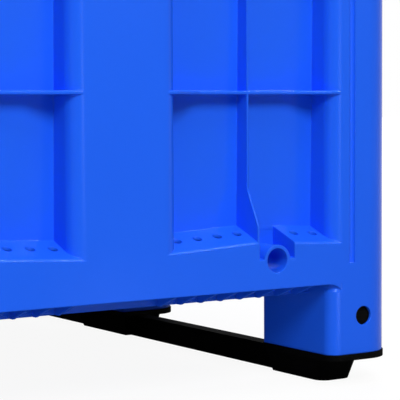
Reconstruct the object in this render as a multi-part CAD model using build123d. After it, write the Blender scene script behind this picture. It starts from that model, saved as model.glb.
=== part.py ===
from build123d import *
import os
from math import asin, atan, cos, degrees, radians, sin, tan

# A closed pallet box on two clip-on runners, in millimetres.
# Z = 0 is the ground, X runs across the box, Y runs along it, and the origin is under its middle.

# Overall sizes, over the runner flanges
FOOTPRINT_WIDTH = 800.0
FOOTPRINT_LENGTH = 1200.0
HEIGHT = 790.0

# Tub walls and floor
SKIN = 4.5
CORNER_ROUND = 40.0
FLOOR_SKIN = 5.0
FLOOR_RISE = 19.0
WALL_DRAFT = 1.0
CAVITY_ROUND = 40.0

# Pockets in the walls, with a pillar between two pockets and a post at each end of a wall
END_POCKETS = 2
SIDE_POCKETS = 3
PILLAR_WIDTH = 104.0
POST_WIDTH = 82.5
POCKET_DEPTH = 46.0
MOUTH_ROUND = 19.0
LEDGE_RISE = 52.0
LEDGE_SLOPE = 17.5
LEDGE_CROWN = 7.0
LEDGE_ROUND = 4.0

# Stacking rim round the top
RIM_HEIGHT = 59.0
RIM_WIDTH = 20.0
RIM_ROUND = 2.5
RECESS_DEPTH = 34.0
RECESS_FLARE = 20.0

# Ribs in the pockets
SHELF_RIBS = 2
SHELF_THICKNESS = 4.6
SHELF_SETBACK = 0.4
SHELF_ROUND = 1.2
UPRIGHT_THICKNESS = 2.5
UPRIGHT_FOOT = 19.0
RIB_SETBACK = 22.5
RIB_FLARE = 44.0

# Drip holes in the pocket ledges, and the ribs under the floor that stand between them
HOLE_PITCH = 28.8
DRIP_HOLE = 11.5
HOLE_FROM_FACE = 26.0
HOLE_MARGIN = 11.0
RIB_THICKNESS = 3.0
RIB_DROP = 15.0
RIB_RUN = 40.0

# Grooves up the corner posts
GROOVE_WIDTH = 9.0
GROOVE_FROM_END = 69.5
GROOVE_DROP = 26.5

# Drain spout in the right-hand pocket of the front wall
SPOUT_BORE = 30.0
SPOUT_WALL = 4.2
SPOUT_OFFSET = 28.0
DRAIN_LIFT = 1.0
NOTCH_WIDTH = 53.0
NOTCH_DROP = 15.5
NOTCH_SLOPE = 8.0

# Feet: four at the corners, and one in the middle of each long side
FOOT_WIDTH = 103.0
CORNER_FOOT_LENGTH = 147.0
MIDDLE_FOOT_LENGTH = 168.0
FOOT_HEIGHT = 91.0
FOOT_ROUND = 16.0
FOOT_INNER_ROUND = 3.0
LEAST_ROUND = 1.0
BLEND_LEAD = 4.0
BLEND_DROP = 8.0
SHOULDER_DROP = 11.0
SHOULDER_HEIGHT = 4.0
SHOULDER_EASE = 4.5

# Runners
FLANGE_LIP = 1.5
FLANGE_THICKNESS = 8.0
PAD_HEIGHT = 31.0
PAD_WIDTH = 63.0
PAD_INSET = 4.0
PAD_SETBACK = 23.5
PAD_SIDE_SLOPE = 11.0
PAD_END_SLOPE = 17.0
PAD_ROUND = 16.0
PAD_TAIL_ROUND = 2.0
PAD_WALL = 10.0
PAD_FLOOR = 6.0
BAR_WIDTH = 22.0
BAR_HEIGHT = 31.5
SPIGOT_WALL = 5.0
SPIGOT_FIT = 0.4
SPIGOT_HEADROOM = 5.0

# Spring catches, which hold the runners in the feet
CATCH_HOLE = 24.0
CATCH_DROP = 43.0
NOSE_CLEARANCE = 0.6
NOSE_SETBACK = 3.0
NOSE_CREASE = 2.0
TONGUE_WIDTH = 26.0
TONGUE_THICKNESS = 4.0
TONGUE_GAP = 0.5
TONGUE_HEADROOM = 4.0
KNUCKLE_DIAMETER = 5.0
KNUCKLE_RISE = 11.0
RUNNING_CLEARANCE = 0.05

# How far a cutting shape runs past the faces that it cuts
OVERCUT = 5.0

# Heights and half sizes that follow from the sizes above
HALF_WIDTH = FOOTPRINT_WIDTH / 2 - FLANGE_LIP
HALF_LENGTH = FOOTPRINT_LENGTH / 2 - FLANGE_LIP
FOOT_Z = PAD_HEIGHT + FLANGE_THICKNESS
SKIRT_Z = FOOT_Z + FOOT_HEIGHT
RIB_Z = SKIRT_Z - RIB_DROP
FLOOR_Z = SKIRT_Z + FLOOR_RISE
RIB_TOP_Z = FLOOR_Z - FLOOR_SKIN / 2
LEDGE_FRONT_Z = SKIRT_Z + LEDGE_RISE
LEDGE_BACK_Z = LEDGE_FRONT_Z + LEDGE_SLOPE
POCKET_TOP_Z = HEIGHT - RIM_HEIGHT
RECESS_Z = HEIGHT - RECESS_DEPTH
NECK_Z = RECESS_Z - RECESS_FLARE
NOTCH_Z = LEDGE_FRONT_Z - NOTCH_DROP
SPOUT_Z = FLOOR_Z + DRAIN_LIFT + SPOUT_BORE / 2
CATCH_Z = SKIRT_Z - CATCH_DROP
KNUCKLE_Z = FOOT_Z + KNUCKLE_RISE
SPIGOT_TOP_Z = RIB_Z - SPIGOT_HEADROOM
FOOT_X = HALF_WIDTH - FOOT_WIDTH
CORNER_FOOT_Y = HALF_LENGTH - CORNER_FOOT_LENGTH
KNUCKLE_DEPTH = SKIN + SPIGOT_FIT + SPIGOT_WALL / 2

# Each wall has its own frame: u along the wall, v inwards from its outer face, z up
END_WALLS = [
    Location((0, -HALF_LENGTH, 0)),
    Location((0, HALF_LENGTH, 0), (0, 0, 180)),
]
SIDE_WALLS = [
    Location((HALF_WIDTH, 0, 0), (0, 0, 90)),
    Location((-HALF_WIDTH, 0, 0), (0, 0, -90)),
]


def pocket_depth(z):
    """How far the back of a pocket lies behind the wall's face: the wall leans, so it falls with height."""
    return POCKET_DEPTH - (z - LEDGE_BACK_Z) * tan(radians(WALL_DRAFT))


def mouth_width(wall_length, count):
    """The width of one pocket's mouth on a wall that has this many pockets."""
    return (wall_length - 2 * POST_WIDTH - (count - 1) * PILLAR_WIDTH) / count


def pocket_centres(mouth, count):
    """Where the pockets of one wall are centred."""
    pitch = mouth + PILLAR_WIDTH
    return [pitch * (i - (count - 1) / 2) for i in range(count)]


def polygon(*points):
    """A flat outline with straight edges."""
    return make_face(Polyline(*points, close=True))


def across(profile, u_low, u_high):
    """A profile in v and z, drawn along the wall from u_low to u_high."""
    return extrude(Plane.YZ.offset(u_low) * profile, amount=u_high - u_low, dir=(1, 0, 0))


def upright(face, z_low, z_high):
    """A plan outline drawn up from z_low to z_high."""
    return extrude(Pos(0, 0, z_low) * face, amount=z_high - z_low, dir=(0, 0, 1))


def rounded_plan(x_low, x_high, y_low, y_high, rounds):
    """A rectangle with its own radius at each corner, in turn from the lowest x and y."""
    round_a, round_b, round_c, round_d = rounds
    return make_face([
        Line((x_low + round_a, y_low), (x_high - round_b, y_low)),
        CenterArc((x_high - round_b, y_low + round_b), round_b, -90, 90),
        Line((x_high, y_low + round_b), (x_high, y_high - round_c)),
        CenterArc((x_high - round_c, y_high - round_c), round_c, 0, 90),
        Line((x_high - round_c, y_high), (x_low + round_d, y_high)),
        CenterArc((x_low + round_d, y_high - round_d), round_d, 90, 90),
        Line((x_low, y_high - round_d), (x_low, y_low + round_a)),
        CenterArc((x_low + round_a, y_low + round_a), round_a, 180, 90),
    ])


def tub_plan(inset, corner):
    """The tub's rectangle, drawn in by the inset."""
    return RectangleRounded(2 * (HALF_WIDTH - inset), 2 * (HALF_LENGTH - inset), corner)


def cavity(grow):
    """The space inside the tub: a leaning well, a flare and the stacking recess, each grown by a skin."""
    floor_z = FLOOR_Z - (FLOOR_SKIN if grow else 0)
    corner = CAVITY_ROUND + grow
    floor_inset = pocket_depth(floor_z) + SKIN - grow
    neck_inset = pocket_depth(NECK_Z) + SKIN - grow
    rim_inset = RIM_WIDTH - grow
    floor_plan = Pos(0, 0, floor_z) * tub_plan(floor_inset, corner)
    neck_plan = Pos(0, 0, NECK_Z) * tub_plan(neck_inset, corner)
    recess_plan = Pos(0, 0, RECESS_Z) * tub_plan(rim_inset, corner)
    well = loft([floor_plan, neck_plan], ruled=True)
    flare = loft([neck_plan, recess_plan], ruled=True)
    recess = upright(tub_plan(rim_inset, corner), RECESS_Z, HEIGHT + OVERCUT)
    return well + flare + recess


def pocket_plan(mouth, grow):
    """A pocket seen from above: a mouth with rounded edges, then straight sides back into the wall."""
    half = mouth / 2
    bend = MOUTH_ROUND - grow
    side = half - bend
    back = POCKET_DEPTH + 2 * SKIN
    return make_face([
        Line((-half, -OVERCUT), (-half, grow)),
        CenterArc((-half, MOUTH_ROUND), bend, -90, 90),
        Line((-side, MOUTH_ROUND), (-side, back)),
        Line((-side, back), (side, back)),
        Line((side, back), (side, MOUTH_ROUND)),
        CenterArc((half, MOUTH_ROUND), bend, 180, 90),
        Line((half, grow), (half, -OVERCUT)),
        Line((half, -OVERCUT), (-half, -OVERCUT)),
    ])


def above_ledge(mouth, grow):
    """The space above a ledge that falls outwards and to both sides, with a round edge at the wall's face."""
    fall = LEDGE_SLOPE / POCKET_DEPTH
    lean = atan(fall)
    side_fall = 2 * LEDGE_CROWN / mouth
    crown_z = LEDGE_FRONT_Z + LEDGE_CROWN - grow
    round_z = crown_z + LEDGE_ROUND * (fall - 1 / cos(lean))
    round_end = (LEDGE_ROUND * (1 - sin(lean)), round_z + LEDGE_ROUND * cos(lean))
    far = 2 * POCKET_DEPTH
    profile = make_face([
        Line((-OVERCUT, round_z), (0, round_z)),
        CenterArc((LEDGE_ROUND, round_z), LEDGE_ROUND, 180, degrees(lean) - 90),
        Line(round_end, (far, crown_z + far * fall)),
        Line((far, crown_z + far * fall), (far, HEIGHT)),
        Line((far, HEIGHT), (-OVERCUT, HEIGHT)),
        Line((-OVERCUT, HEIGHT), (-OVERCUT, round_z)),
    ])
    right_half = extrude(Plane.YZ * profile, amount=mouth, dir=(1, 0, -side_fall))
    left_half = extrude(Plane.YZ * profile, amount=mouth, dir=(-1, 0, -side_fall))
    return right_half + left_half


def pocket(mouth, grow):
    """One pocket: its plan, cut off by the leaning back, the top and the ledge."""
    top_z = POCKET_TOP_Z + grow
    low_z = LEDGE_FRONT_Z - LEDGE_SLOPE
    body = upright(pocket_plan(mouth, grow), low_z, top_z)
    back = polygon(
        (-OVERCUT, low_z),
        (pocket_depth(low_z) + grow, low_z),
        (pocket_depth(top_z) + grow, top_z),
        (-OVERCUT, top_z),
    )
    return body & across(back, -mouth, mouth) & above_ledge(mouth, grow)


def drain_notch(grow):
    """The notch in the ledge that bares the top half of the drain spout."""
    half = NOTCH_WIDTH / 2 + grow
    fall = NOTCH_SLOPE / POCKET_DEPTH
    back_z = NOTCH_Z + NOTCH_SLOPE - grow
    top_z = LEDGE_BACK_Z + LEDGE_SLOPE
    profile = polygon(
        (-OVERCUT, NOTCH_Z - grow - OVERCUT * fall),
        (pocket_depth(LEDGE_BACK_Z), back_z),
        (pocket_depth(top_z), top_z),
        (-OVERCUT, top_z),
    )
    return Pos(SPOUT_OFFSET, 0, 0) * across(profile, -half, half)


def shelf_rib(mouth, z):
    """A level rib across a pocket: narrow in the middle, it flares out to the wall's face at both ends."""
    low_z = z - SHELF_THICKNESS / 2
    high_z = z + SHELF_THICKNESS / 2
    back = pocket_depth(z) + SKIN / 2
    flare_end = mouth / 2 - MOUTH_ROUND
    flare_start = flare_end - RIB_FLARE
    plan = polygon(
        (-mouth, SHELF_SETBACK),
        (-flare_end, SHELF_SETBACK),
        (-flare_start, RIB_SETBACK),
        (flare_start, RIB_SETBACK),
        (flare_end, SHELF_SETBACK),
        (mouth, SHELF_SETBACK),
        (mouth, back),
        (-mouth, back),
    )
    plate = upright(plan, low_z, high_z)
    levels = plate.edges().group_by(Axis.Z)
    plate = fillet(levels[0] + levels[-1], SHELF_ROUND)
    return plate & upright(pocket_plan(mouth, 0), low_z, high_z)


def upright_rib():
    """The thin rib up the middle of a pocket, which comes out to the wall's face at its foot."""
    crown_z = LEDGE_FRONT_Z + LEDGE_CROWN
    foot_z = crown_z + UPRIGHT_FOOT
    half_skin = SKIN / 2
    profile = polygon(
        (0, crown_z - LEDGE_ROUND),
        (0, foot_z),
        (RIB_SETBACK, foot_z + RIB_FLARE),
        (RIB_SETBACK, POCKET_TOP_Z + half_skin),
        (pocket_depth(POCKET_TOP_Z) + half_skin, POCKET_TOP_Z + half_skin),
        (pocket_depth(LEDGE_BACK_Z) + half_skin, LEDGE_BACK_Z + LEDGE_CROWN - half_skin),
    )
    return across(profile, -UPRIGHT_THICKNESS / 2, UPRIGHT_THICKNESS / 2)


def drip_holes(mouth):
    """Where the drip holes of one pocket lie, counted from its middle."""
    room = mouth - 2 * MOUTH_ROUND - 2 * HOLE_MARGIN
    count = 2 * int((room / HOLE_PITCH + 1) / 2)
    return [HOLE_PITCH * (i - (count - 1) / 2) for i in range(count)]


def floor_ribs(mouth, wall_depth):
    """Ribs under one pocket: every second one runs right under the floor, the others are short gussets."""
    inner = SKIN / 2
    far = wall_depth - inner
    long_profile = polygon(
        (inner, SKIRT_Z),
        (RIB_RUN, RIB_Z),
        (wall_depth - RIB_RUN, RIB_Z),
        (far, SKIRT_Z),
        (far, RIB_TOP_Z),
        (inner, RIB_TOP_Z),
    )
    gusset_end = pocket_depth(RIB_Z) + RIB_THICKNESS / 2
    gusset_profile = polygon(
        (inner, SKIRT_Z),
        (RIB_RUN, RIB_Z),
        (gusset_end, RIB_Z),
        (gusset_end, RIB_TOP_Z),
        (inner, RIB_TOP_Z),
    )
    half = RIB_THICKNESS / 2
    last = len(drip_holes(mouth)) // 2
    long_ribs = []
    gussets = []
    for k in range(-last, last + 1):
        u = k * HOLE_PITCH
        if k % 2 == 0:
            long_ribs.append(across(long_profile, u - half, u + half))
        else:
            gussets.append(across(gusset_profile, u - half, u + half))
    return long_ribs, gussets


def cross_rib():
    """The rib under the floor that runs round in line with the backs of the pockets."""
    inset = pocket_depth(RIB_Z)
    outer = tub_plan(inset, CAVITY_ROUND)
    inner = tub_plan(inset + RIB_THICKNESS, CAVITY_ROUND - RIB_THICKNESS)
    return upright(outer - inner, RIB_Z, RIB_TOP_Z)


def foot_plan(place, grow, ease=0):
    """One foot seen from above, on the right-hand side, grown outwards or drawn in, its edges eased."""
    x_low = FOOT_X - grow
    x_high = HALF_WIDTH + grow
    edge = FOOT_ROUND + grow + ease
    corner = CORNER_ROUND + grow
    inner = max(FOOT_INNER_ROUND + grow, LEAST_ROUND)
    if place == "middle":
        half = MIDDLE_FOOT_LENGTH / 2 + grow
        return rounded_plan(x_low, x_high, -half, half, [inner, corner, corner, inner])
    near = CORNER_FOOT_Y - grow
    far = HALF_LENGTH + grow
    if place == "front":
        return rounded_plan(x_low, x_high, -far, -near, [edge, corner, edge, inner])
    return rounded_plan(x_low, x_high, near, far, [inner, edge, corner, edge])


FOOT_PLACES = ["front", "middle", "rear"]


def feet():
    """The six hollow feet, open below, as tubes up to the floor whose round edges ease back under the webs."""
    shoulder_z = SKIRT_Z - SHOULDER_DROP
    neck_z = shoulder_z + SHOULDER_HEIGHT
    right_feet = []
    for place in FOOT_PLACES:
        leg_plan = foot_plan(place, 0)
        neck_plan = foot_plan(place, 0, SHOULDER_EASE)
        leg = upright(leg_plan, FOOT_Z, shoulder_z)
        shoulder = loft([Pos(0, 0, shoulder_z) * leg_plan, Pos(0, 0, neck_z) * neck_plan], ruled=True)
        neck = upright(neck_plan, neck_z, RIB_TOP_Z)
        inner = upright(foot_plan(place, -SKIN), FOOT_Z - OVERCUT, RIB_TOP_Z + OVERCUT)
        right_feet.append(leg + shoulder + neck - inner)
    return right_feet + [mirror(foot, about=Plane.YZ) for foot in right_feet]


def foot_blend(edge_u, towards, edge_round):
    """The curved web where a wall's lower edge runs down into a foot, as wide as the foot's round edge."""
    length = edge_round + BLEND_LEAD
    bend = (length**2 + BLEND_DROP**2) / (2 * BLEND_DROP)
    turn = degrees(asin(length / bend))
    tip_u = edge_u + towards * edge_round
    start_u = edge_u - towards * BLEND_LEAD
    low_z = SKIRT_Z - BLEND_DROP
    top_z = SKIRT_Z + SKIN
    outline = [
        Line((tip_u, low_z), (tip_u, top_z)),
        Line((tip_u, top_z), (start_u, top_z)),
        Line((start_u, top_z), (start_u, SKIRT_Z)),
        CenterArc((start_u, SKIRT_Z - bend), bend, 90, -turn * towards),
    ]
    return extrude(Plane.XZ * make_face(outline), amount=SKIN, dir=(0, 1, 0))


def catch_sites():
    """Each catch's place: the middle of the foot's face that its hole is in."""
    foot_middle_x = HALF_WIDTH - FOOT_WIDTH / 2
    foot_middle_y = HALF_LENGTH - CORNER_FOOT_LENGTH / 2
    sites = {}
    for side_name, side in (("left", -1), ("right", 1)):
        x = side * foot_middle_x
        sites["end_catch_front_" + side_name] = Location((x, -HALF_LENGTH, 0))
        sites["end_catch_rear_" + side_name] = Location((x, HALF_LENGTH, 0), (0, 0, 180))
        for place, y in (("front", -foot_middle_y), ("middle", 0), ("rear", foot_middle_y)):
            sites["side_catch_" + place + "_" + side_name] = Location(
                (side * HALF_WIDTH, y, 0), (0, 0, 90 * side)
            )
    return sites


def level_pin(diameter, length, v, z):
    """A round bar that lies along a wall, centred at v and z."""
    return Pos(0, v, z) * Rot(0, 90, 0) * Cylinder(diameter / 2, length)


def inward_bore(diameter, v_low, v_high, z):
    """A round bar that points straight into a wall, from v_low to v_high."""
    length = v_high - v_low
    return Pos(0, v_low + length / 2, z) * Rot(90, 0, 0) * Cylinder(diameter / 2, length)


def build_tub():
    """The tub: one moulding of even skin, hollow behind its posts, pillars and rim."""
    end_mouth = mouth_width(2 * HALF_WIDTH, END_POCKETS)
    side_mouth = mouth_width(2 * HALF_LENGTH, SIDE_POCKETS)
    drain_spot = END_WALLS[0] * Pos(pocket_centres(end_mouth, END_POCKETS)[-1], 0, 0)
    crown_z = LEDGE_FRONT_Z + LEDGE_CROWN
    bay = (POCKET_TOP_Z - crown_z) / (SHELF_RIBS + 1)

    # The pockets with their ribs and drip holes, wall by wall
    spaces = []
    linings = []
    shelves = []
    uprights = []
    long_ribs = []
    gussets = []
    holes = []
    for walls, mouth, count, wall_depth in (
        (END_WALLS, end_mouth, END_POCKETS, 2 * HALF_LENGTH),
        (SIDE_WALLS, side_mouth, SIDE_POCKETS, 2 * HALF_WIDTH),
    ):
        space = pocket(mouth, 0)
        lining = pocket(mouth, SKIN)
        wall_shelves = [shelf_rib(mouth, crown_z + bay * (i + 1)) for i in range(SHELF_RIBS)]
        wall_long_ribs, wall_gussets = floor_ribs(mouth, wall_depth)
        hole_bore = Pos(0, HOLE_FROM_FACE, LEDGE_BACK_Z) * Cylinder(DRIP_HOLE / 2, 4 * LEDGE_SLOPE)
        for wall in walls:
            for centre in pocket_centres(mouth, count):
                spot = wall * Pos(centre, 0, 0)
                spaces.append(spot * space)
                linings.append(spot * lining)
                shelves += [spot * shelf for shelf in wall_shelves]
                uprights.append(spot * upright_rib())
                gussets += [spot * gusset for gusset in wall_gussets]
                if wall is walls[0]:
                    long_ribs += [spot * rib for rib in wall_long_ribs]
                has_drain = walls is END_WALLS and wall is walls[0] and centre > 0
                for u in drip_holes(mouth):
                    in_notch = abs(u - SPOUT_OFFSET) < (NOTCH_WIDTH + DRIP_HOLE) / 2
                    if not (has_drain and in_notch):
                        holes.append(spot * Pos(u, 0, 0) * hole_bore)

    # Webs at the feet, and half-round grooves up the posts
    blends = []
    groove_low = LEDGE_FRONT_Z - GROOVE_DROP
    groove_height = POCKET_TOP_Z - groove_low
    groove_spot = Pos(0, 0, groove_low + groove_height / 2)
    groove = groove_spot * Cylinder(GROOVE_WIDTH / 2, groove_height)
    groove_lining = groove_spot * Cylinder(GROOVE_WIDTH / 2 + SKIN, groove_height + 2 * SKIN)
    for walls, half, inner_edge in (
        (END_WALLS, HALF_WIDTH, FOOT_X),
        (SIDE_WALLS, HALF_LENGTH, CORNER_FOOT_Y),
    ):
        for wall in walls:
            blends.append(wall * foot_blend(inner_edge, 1, FOOT_ROUND))
            blends.append(wall * foot_blend(-inner_edge, -1, FOOT_ROUND))
            for u in (half - GROOVE_FROM_END, GROOVE_FROM_END - half):
                spaces.append(wall * Pos(u, 0, 0) * groove)
                linings.append(wall * Pos(u, 0, 0) * groove_lining)
    for wall in SIDE_WALLS:
        middle_edge = MIDDLE_FOOT_LENGTH / 2
        blends.append(wall * foot_blend(-middle_edge, 1, CORNER_ROUND))
        blends.append(wall * foot_blend(middle_edge, -1, CORNER_ROUND))

    # The skin: the outer block without its spaces, and hollow wherever it would be thicker
    outer = upright(tub_plan(0, CORNER_ROUND), SKIRT_Z, HEIGHT)
    hollow = upright(tub_plan(SKIN, CORNER_ROUND - SKIN), SKIRT_Z - OVERCUT, HEIGHT - SKIN)
    spaces.append(drain_spot * drain_notch(0))
    linings.append(drain_spot * drain_notch(SKIN))
    tub = outer - cavity(0)
    tub = fillet(tub.edges().group_by(Axis.Z)[-1], RIM_ROUND)
    tub = tub - spaces
    hollow = hollow - cavity(SKIN)
    tub = tub - (hollow - linings)

    # The drain spout and the holes for the catches
    spout_spot = drain_spot * Pos(SPOUT_OFFSET, 0, 0)
    spout_round = SPOUT_BORE + 2 * SPOUT_WALL
    spout_end = pocket_depth(SPOUT_Z) + SKIN / 2
    spout = spout_spot * inward_bore(spout_round, 0, spout_end, SPOUT_Z)
    drain = spout_spot * inward_bore(SPOUT_BORE, -OVERCUT, spout_end + SKIN + OVERCUT, SPOUT_Z)
    catch_bore = inward_bore(CATCH_HOLE, -OVERCUT, 2 * SKIN, CATCH_Z)
    catch_holes = [site * catch_bore for site in catch_sites().values()]

    tub = tub - holes
    tub = tub + spout
    tub = tub - drain
    tub = tub + shelves
    tub = tub + uprights
    tub = tub + [foot - catch_holes for foot in feet()]
    tub = tub + blends
    tub = tub + cross_rib()
    tub = tub + gussets
    return tub + long_ribs


def runner_pad(y_low, y_high, low_slope, high_slope, low_round):
    """A pad under one foot, which leans in on its inner side and at its ends, and its well from above."""
    x_low = FOOT_X + PAD_INSET
    x_high = x_low + PAD_WIDTH
    foot_x = x_low + PAD_SIDE_SLOPE
    foot_low = y_low + low_slope
    foot_high = y_high - high_slope
    rounds = [low_round, low_round, PAD_TAIL_ROUND, PAD_TAIL_ROUND]
    top = rounded_plan(x_low, x_high, y_low, y_high, rounds)
    bottom = rounded_plan(foot_x, x_high, foot_low, foot_high, rounds)
    block = loft([bottom, Pos(0, 0, PAD_HEIGHT) * top], ruled=True)
    well_plan = Rectangle(x_high - foot_x - 2 * PAD_WALL, foot_high - foot_low - 2 * PAD_WALL)
    well_spot = Pos((foot_x + x_high) / 2, (foot_low + foot_high) / 2, 0)
    return block, well_spot * upright(well_plan, PAD_FLOOR, FOOT_Z + OVERCUT)


def catch_window():
    """The opening in a spigot that a catch stands in, with the round seat of its knuckle below."""
    width = TONGUE_WIDTH + 2 * TONGUE_GAP
    height = SPIGOT_TOP_Z + OVERCUT - KNUCKLE_Z
    slot = Pos(0, KNUCKLE_DEPTH, KNUCKLE_Z + height / 2) * Box(width, 2 * SPIGOT_WALL, height)
    return slot + level_pin(KNUCKLE_DIAMETER + 2 * RUNNING_CLEARANCE, width, KNUCKLE_DEPTH, KNUCKLE_Z)


def build_runner():
    """The right-hand runner: a ground bar with a pad, a flange and a hollow spigot at each foot."""
    corner_front = -HALF_LENGTH + PAD_SETBACK
    half_middle = MIDDLE_FOOT_LENGTH / 2
    front_pad, front_well = runner_pad(corner_front, -CORNER_FOOT_Y, PAD_END_SLOPE, 0, PAD_ROUND)
    middle_pad, middle_well = runner_pad(
        -half_middle, half_middle, PAD_END_SLOPE, PAD_END_SLOPE, PAD_TAIL_ROUND
    )
    rear_pad = mirror(front_pad, about=Plane.XZ)
    rear_well = mirror(front_well, about=Plane.XZ)

    bar_length = 2 * (HALF_LENGTH - CORNER_FOOT_LENGTH / 2)
    bar_x = FOOT_X + PAD_INSET + PAD_WIDTH / 2
    bar = Pos(bar_x, 0, BAR_HEIGHT / 2) * Box(BAR_WIDTH, bar_length, BAR_HEIGHT)

    flanges = []
    spigots = []
    for place in FOOT_PLACES:
        flanges.append(upright(foot_plan(place, FLANGE_LIP), PAD_HEIGHT, FOOT_Z))
        fit = SKIN + SPIGOT_FIT
        outer = upright(foot_plan(place, -fit), PAD_HEIGHT, SPIGOT_TOP_Z)
        inner = upright(foot_plan(place, -fit - SPIGOT_WALL), FOOT_Z, SPIGOT_TOP_Z + OVERCUT)
        spigots.append(outer - inner)

    runner = bar + [front_pad, middle_pad, rear_pad] + flanges + spigots
    windows = [site * catch_window() for name, site in catch_sites().items() if name.endswith("right")]
    return runner - windows - [front_well, middle_well, rear_well]


def build_catch():
    """A catch in its wall's frame: a tongue on a round knuckle, with a nose that fills the foot's hole."""
    tongue_top = SPIGOT_TOP_Z - TONGUE_HEADROOM
    tongue_height = tongue_top - KNUCKLE_Z
    tongue = Box(TONGUE_WIDTH, TONGUE_THICKNESS, tongue_height)
    face_v = KNUCKLE_DEPTH - TONGUE_THICKNESS / 2
    nose_round = CATCH_HOLE - 2 * NOSE_CLEARANCE
    nose = inward_bore(nose_round, NOSE_SETBACK, KNUCKLE_DEPTH, CATCH_Z)
    crease_z = CATCH_Z + NOSE_CREASE
    nose_profile = polygon(
        (NOSE_SETBACK, CATCH_Z - nose_round / 2),
        (NOSE_SETBACK, crease_z),
        (face_v, CATCH_Z + nose_round / 2),
        (KNUCKLE_DEPTH, CATCH_Z + nose_round / 2),
        (KNUCKLE_DEPTH, CATCH_Z - nose_round / 2),
    )
    nose = nose & across(nose_profile, -nose_round, nose_round)
    knuckle = level_pin(KNUCKLE_DIAMETER, TONGUE_WIDTH, KNUCKLE_DEPTH, KNUCKLE_Z)
    return knuckle + Pos(0, KNUCKLE_DEPTH, KNUCKLE_Z + tongue_height / 2) * tongue + nose


nodes = {"tub": build_tub()}
nodes["runner_right"] = build_runner()
nodes["runner_left"] = mirror(nodes["runner_right"], about=Plane.YZ)
catch = build_catch()
for catch_name, catch_site in catch_sites().items():
    nodes[catch_name] = catch_site * catch

os.makedirs("parts", exist_ok=True)
for node_name, node in nodes.items():
    export_step(node, os.path.join("parts", node_name + ".step"))
    print(node_name, len(node.solids()), "solid", round(node.volume / 1000), "cm3")
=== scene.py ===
import math

import bmesh
import bpy
from mathutils import Matrix, Vector


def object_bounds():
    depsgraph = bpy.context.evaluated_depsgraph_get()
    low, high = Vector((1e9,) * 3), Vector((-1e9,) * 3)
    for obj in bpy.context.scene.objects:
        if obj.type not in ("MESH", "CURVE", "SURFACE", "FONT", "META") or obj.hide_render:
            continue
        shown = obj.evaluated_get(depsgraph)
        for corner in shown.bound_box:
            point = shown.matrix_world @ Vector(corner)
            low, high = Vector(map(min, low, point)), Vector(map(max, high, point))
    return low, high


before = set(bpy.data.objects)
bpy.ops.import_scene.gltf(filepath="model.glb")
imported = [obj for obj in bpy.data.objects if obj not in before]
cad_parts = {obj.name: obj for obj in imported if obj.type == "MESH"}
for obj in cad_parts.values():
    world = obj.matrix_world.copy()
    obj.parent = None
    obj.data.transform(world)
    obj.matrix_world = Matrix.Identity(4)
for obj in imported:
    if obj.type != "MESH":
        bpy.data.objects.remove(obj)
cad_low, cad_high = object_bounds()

# Tub
# One large injection moulding in blue polyethylene: walls with pockets and ribs, floor, rim and hollow
# feet. The shape is the solid's own; the skin adds the satin of the mould and a small radius on edges.
tub_blue = (0.0115, 0.110, 0.800, 1.0)
tub_blue_deep = (0.0103, 0.102, 0.760, 1.0)
tub_glint = (0.60, 0.72, 1.00, 1.0)
tub_roughness, tub_specular, tub_grain = 0.22, 0.12, 0.08
melt_scale, melt_detail = 7.0, 3.0
gloss_drift = 0.05
edge_radius, edge_samples = 0.0020, 8
pore_scale, pore_detail, pore_depth = 650.0, 2.0, 0.0004


def moulded_plastic(name, colour, deep_colour, glint, roughness, specular, grain):
    """Moulded polyethylene: a faint drift of colour and gloss from the melt, and a fine grain."""
    material = bpy.data.materials.new(name)
    material.use_nodes = True
    nodes, links = material.node_tree.nodes, material.node_tree.links
    skin = nodes["Principled BSDF"]
    skin.inputs["Specular IOR Level"].default_value = specular
    skin.inputs["Specular Tint"].default_value = glint
    place = nodes.new("ShaderNodeTexCoord")

    melt = nodes.new("ShaderNodeTexNoise")
    melt.inputs["Scale"].default_value = melt_scale
    melt.inputs["Detail"].default_value = melt_detail
    links.new(place.outputs["Object"], melt.inputs["Vector"])
    tint = nodes.new("ShaderNodeMix")
    tint.data_type = "RGBA"
    tint.inputs["A"].default_value = colour
    tint.inputs["B"].default_value = deep_colour
    links.new(melt.outputs["Fac"], tint.inputs["Factor"])
    links.new(tint.outputs["Result"], skin.inputs["Base Color"])

    gloss = nodes.new("ShaderNodeMapRange")
    gloss.inputs["To Min"].default_value = roughness - gloss_drift
    gloss.inputs["To Max"].default_value = roughness + gloss_drift
    links.new(melt.outputs["Fac"], gloss.inputs["Value"])
    links.new(gloss.outputs["Result"], skin.inputs["Roughness"])

    edge = nodes.new("ShaderNodeBevel")
    edge.samples = edge_samples
    edge.inputs["Radius"].default_value = edge_radius
    pores = nodes.new("ShaderNodeTexNoise")
    pores.inputs["Scale"].default_value = pore_scale
    pores.inputs["Detail"].default_value = pore_detail
    links.new(place.outputs["Object"], pores.inputs["Vector"])
    relief = nodes.new("ShaderNodeBump")
    relief.inputs["Strength"].default_value = grain
    relief.inputs["Distance"].default_value = pore_depth
    links.new(pores.outputs["Fac"], relief.inputs["Height"])
    links.new(edge.outputs["Normal"], relief.inputs["Normal"])
    links.new(relief.outputs["Normal"], skin.inputs["Normal"])
    return material


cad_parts["tub"].data.materials[0] = moulded_plastic(
    "blue_tub_skin", tub_blue, tub_blue_deep, tub_glint, tub_roughness, tub_specular, tub_grain
)

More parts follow.
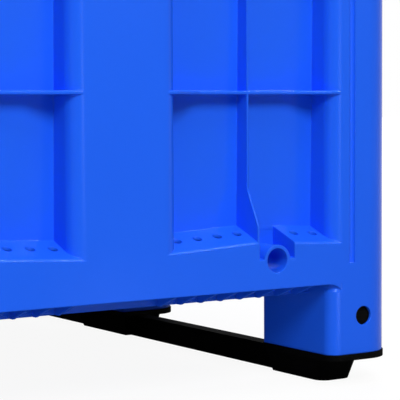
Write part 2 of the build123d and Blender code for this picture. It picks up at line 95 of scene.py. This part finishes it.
# Runners
# A black bar along each long side, with a pad, a flange and a hollow spigot at each of its three feet.
# Moulded in polyethylene, pushed up into the feet from below and held there by the catches.
runner_black = (0.0012, 0.0012, 0.0012, 1.0)
runner_black_deep = (0.0006, 0.0006, 0.0006, 1.0)
runner_glint = (1.0, 1.0, 1.0, 1.0)
runner_roughness, runner_specular, runner_grain = 0.75, 0.02, 0.12
runner_skin = moulded_plastic(
    "black_runner_skin", runner_black, runner_black_deep, runner_glint,
    runner_roughness, runner_specular, runner_grain,
)
for side in ("left", "right"):
    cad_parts["runner_" + side].data.materials[0] = runner_skin

# Catches
# A black spring tongue in each outer face of a foot, whose round nose fills the hole in the blue wall.
# Of one material with the runners, and pressing the nose in frees the runner.
for name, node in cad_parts.items():
    if "_catch_" in name:
        node.data.materials[0] = runner_skin

# Floor
# A plain pale studio floor, which takes the object's shadow and turns into the white backdrop further off.
# Its mirror image in the plastic is dark under the box, where no lamp reaches it.
floor_drop = 0.0005
floor_reach = 30.0
floor_grey = (0.32, 0.32, 0.32, 1.0)
floor_roughness = 0.9
floor_glow_strength = 1.16
shadow_reach, shadow_end = 1.5, 4.0
glow_in_shadow_reach = 0.80
umbra_reach, umbra_end = 0.70, 0.95
floor_shape = bmesh.new()
bmesh.ops.create_grid(floor_shape, x_segments=1, y_segments=1, size=floor_reach)
bmesh.ops.translate(floor_shape, verts=floor_shape.verts, vec=(0.0, 0.0, -floor_drop))
floor_mesh = bpy.data.meshes.new("studio_floor")
floor_shape.to_mesh(floor_mesh)
floor_shape.free()
floor = bpy.data.objects.new("studio_floor", floor_mesh)
bpy.context.scene.collection.objects.link(floor)
floor_paint = bpy.data.materials.new("pale_floor")
floor_paint.use_nodes = True
floor_nodes, floor_links = floor_paint.node_tree.nodes, floor_paint.node_tree.links
floor_skin = floor_nodes["Principled BSDF"]
floor_skin.inputs["Base Color"].default_value = floor_grey
floor_skin.inputs["Roughness"].default_value = floor_roughness
floor_skin.inputs["Specular IOR Level"].default_value = 0.0
floor_glow = floor_nodes.new("ShaderNodeEmission")
floor_glow.inputs["Strength"].default_value = floor_glow_strength
floor_place = floor_nodes.new("ShaderNodeTexCoord")
floor_distance = floor_nodes.new("ShaderNodeVectorMath")
floor_distance.operation = "LENGTH"
floor_fade = floor_nodes.new("ShaderNodeMapRange")
floor_fade.inputs["From Min"].default_value = shadow_reach
floor_fade.inputs["From Max"].default_value = shadow_end
floor_fade.inputs["To Min"].default_value = glow_in_shadow_reach
floor_path = floor_nodes.new("ShaderNodeLightPath")
floor_umbra = floor_nodes.new("ShaderNodeMapRange")
floor_umbra.inputs["From Min"].default_value = umbra_reach
floor_umbra.inputs["From Max"].default_value = umbra_end
floor_white = floor_nodes.new("ShaderNodeMath")
floor_white.operation = "MULTIPLY"
floor_share = floor_nodes.new("ShaderNodeMath")
floor_share.operation = "MULTIPLY"
floor_blend = floor_nodes.new("ShaderNodeMixShader")
floor_links.new(floor_place.outputs["Object"], floor_distance.inputs[0])
floor_links.new(floor_distance.outputs["Value"], floor_fade.inputs["Value"])
floor_links.new(floor_distance.outputs["Value"], floor_umbra.inputs["Value"])
floor_links.new(floor_path.outputs["Is Camera Ray"], floor_umbra.inputs["To Min"])
floor_links.new(floor_fade.outputs["Result"], floor_white.inputs[0])
floor_links.new(floor_umbra.outputs["Result"], floor_white.inputs[1])
floor_links.new(floor_white.outputs["Value"], floor_share.inputs[0])


def seen_directly(nodes, links):
    """One for a ray that comes from the camera, a mirror or glass, and none for one that carries light."""
    path = nodes.new("ShaderNodeLightPath")
    seen_or_mirrored = nodes.new("ShaderNodeMath")
    seen_or_mirrored.operation = "MAXIMUM"
    seen_at_all = nodes.new("ShaderNodeMath")
    seen_at_all.operation = "MAXIMUM"
    links.new(path.outputs["Is Camera Ray"], seen_or_mirrored.inputs[0])
    links.new(path.outputs["Is Glossy Ray"], seen_or_mirrored.inputs[1])
    links.new(seen_or_mirrored.outputs["Value"], seen_at_all.inputs[0])
    links.new(path.outputs["Is Transmission Ray"], seen_at_all.inputs[1])
    return seen_at_all.outputs["Value"]


floor_links.new(seen_directly(floor_nodes, floor_links), floor_share.inputs[1])
floor_links.new(floor_share.outputs["Value"], floor_blend.inputs["Fac"])
floor_links.new(floor_skin.outputs["BSDF"], floor_blend.inputs[1])
floor_links.new(floor_glow.outputs["Emission"], floor_blend.inputs[2])
floor_links.new(floor_blend.outputs["Shader"], floor_nodes["Material Output"].inputs["Surface"])
floor.data.materials.append(floor_paint)

# Light
# A white studio with a dim surround: soft boxes over the camera, overhead, low at the left and behind the
# box, and a sheet of light on the floor. Four more lamps only put glints on the plastic's round edges.
white = (1.0, 1.0, 1.0, 1.0)
surround_strength, backdrop_strength = 0.02, 1.0
studio = bpy.data.worlds.new("studio")
bpy.context.scene.world = studio
studio.use_nodes = True
studio_nodes, studio_links = studio.node_tree.nodes, studio.node_tree.links
surround = studio_nodes["Background"]
surround.inputs["Color"].default_value = white
surround.inputs["Strength"].default_value = surround_strength
backdrop = studio_nodes.new("ShaderNodeBackground")
backdrop.inputs["Color"].default_value = white
backdrop.inputs["Strength"].default_value = backdrop_strength
studio_blend = studio_nodes.new("ShaderNodeMixShader")
studio_links.new(seen_directly(studio_nodes, studio_links), studio_blend.inputs["Fac"])
studio_links.new(surround.outputs["Background"], studio_blend.inputs[1])
studio_links.new(backdrop.outputs["Background"], studio_blend.inputs[2])
studio_links.new(studio_blend.outputs["Shader"], studio_nodes["World Output"].inputs["Surface"])


def soft_lamp(name, place, turn, size, power):
    """A rectangular lamp that the camera doesn't see."""
    lamp = bpy.data.lights.new(name, "AREA")
    lamp.shape = "RECTANGLE"
    lamp.size, lamp.size_y = size
    lamp.energy = power
    holder = bpy.data.objects.new(name, lamp)
    holder.location = place
    holder.rotation_euler = turn
    holder.visible_camera = False
    bpy.context.scene.collection.objects.link(holder)
    return holder


def soft_box(name, target, azimuth, elevation, distance, size, power):
    """A lamp that points at the target, from an azimuth counted from the front towards the right."""
    turn, rise = math.radians(azimuth), math.radians(elevation)
    towards = Vector((
        math.sin(turn) * math.cos(rise),
        -math.cos(turn) * math.cos(rise),
        math.sin(rise),
    ))
    place = Vector(target) + towards * distance
    return soft_lamp(name, place, (-towards).to_track_quat("-Z", "Y").to_euler(), size, power)


stand = 4.5
edge_stand, edge_beam = 1.2, 44
foot_stand, foot_beam = 0.55, 50
rib_stand, rib_beam = 1.6, 38
facing_up = (math.pi, 0.0, 0.0)
drain_wall = (0.1, cad_low[1], 0.35)
foot_edge = (0.3, cad_low[1], 0.07)
rib_edges = (0.0, cad_low[1], 0.25)
box_middle = (0.0, 0.0, 0.35)
sheet_middle = (-0.15, cad_low[1] - 0.15, 0.01)
key_box = soft_box(
    "key_box", drain_wall, azimuth=-16, elevation=36, distance=stand, size=(1.55, 1.55), power=178.0
)
soft_box(
    "high_box", drain_wall, azimuth=-10, elevation=75, distance=stand, size=(3.0, 3.0), power=116.0
)
rear_right_box = soft_box(
    "rear_right_box", box_middle, azimuth=135, elevation=32, distance=stand, size=(2.0, 2.0), power=150.0
)
rear_left_box = soft_box(
    "rear_left_box", box_middle, azimuth=-135, elevation=32, distance=stand, size=(2.0, 2.0), power=150.0
)
side_box = soft_box(
    "side_box", drain_wall, azimuth=-70, elevation=3, distance=stand, size=(2.2, 0.9), power=14.0
)
floor_sheet = soft_lamp("floor_sheet", sheet_middle, facing_up, size=(0.9, 0.8), power=0.45)
for dull_lamp in (key_box, rear_right_box, rear_left_box, side_box, floor_sheet):
    dull_lamp.visible_glossy = False
edge_box = soft_box(
    "edge_box", drain_wall, azimuth=-16, elevation=36, distance=edge_stand, size=(0.7, 0.7), power=3.4
)
edge_box.data.spread = math.radians(edge_beam)
front_strip = soft_box(
    "front_strip", drain_wall, azimuth=1, elevation=0.6, distance=stand, size=(1.7, 0.7), power=19.0
)
foot_strip = soft_box(
    "foot_strip", foot_edge, azimuth=8, elevation=-2, distance=foot_stand, size=(0.36, 0.10), power=0.08
)
foot_strip.data.spread = math.radians(foot_beam)
rib_strip = soft_box(
    "rib_strip", rib_edges, azimuth=32, elevation=28, distance=rib_stand, size=(1.3, 0.22), power=3.0
)
rib_strip.data.spread = math.radians(rib_beam)
for glint_lamp in (edge_box, front_strip, foot_strip, rib_strip):
    glint_lamp.visible_diffuse = False

# Camera
# Set low beside the drain wall, looking along it, at the photograph's place and angle.
# The focal length is counted in the photograph's own pixels.
photo_width = 400
photo_focal = 1561.0
camera_place = (-0.9095, -2.1325, 0.3552)
camera_azimuth, camera_pitch, camera_roll = 33.327, -3.49, -0.282
lens = bpy.data.cameras.new("photo_camera")
lens.sensor_width = 36.0
lens.lens = lens.sensor_width * photo_focal / photo_width
camera = bpy.data.objects.new("photo_camera", lens)
camera.location = camera_place
camera.rotation_euler = (
    Matrix.Rotation(math.radians(-camera_azimuth), 3, "Z")
    @ Matrix.Rotation(math.radians(90 + camera_pitch), 3, "X")
    @ Matrix.Rotation(math.radians(camera_roll), 3, "Z")
).to_euler()
bpy.context.scene.collection.objects.link(camera)
bpy.context.scene.camera = camera
bpy.context.scene.view_settings.view_transform = "Standard"
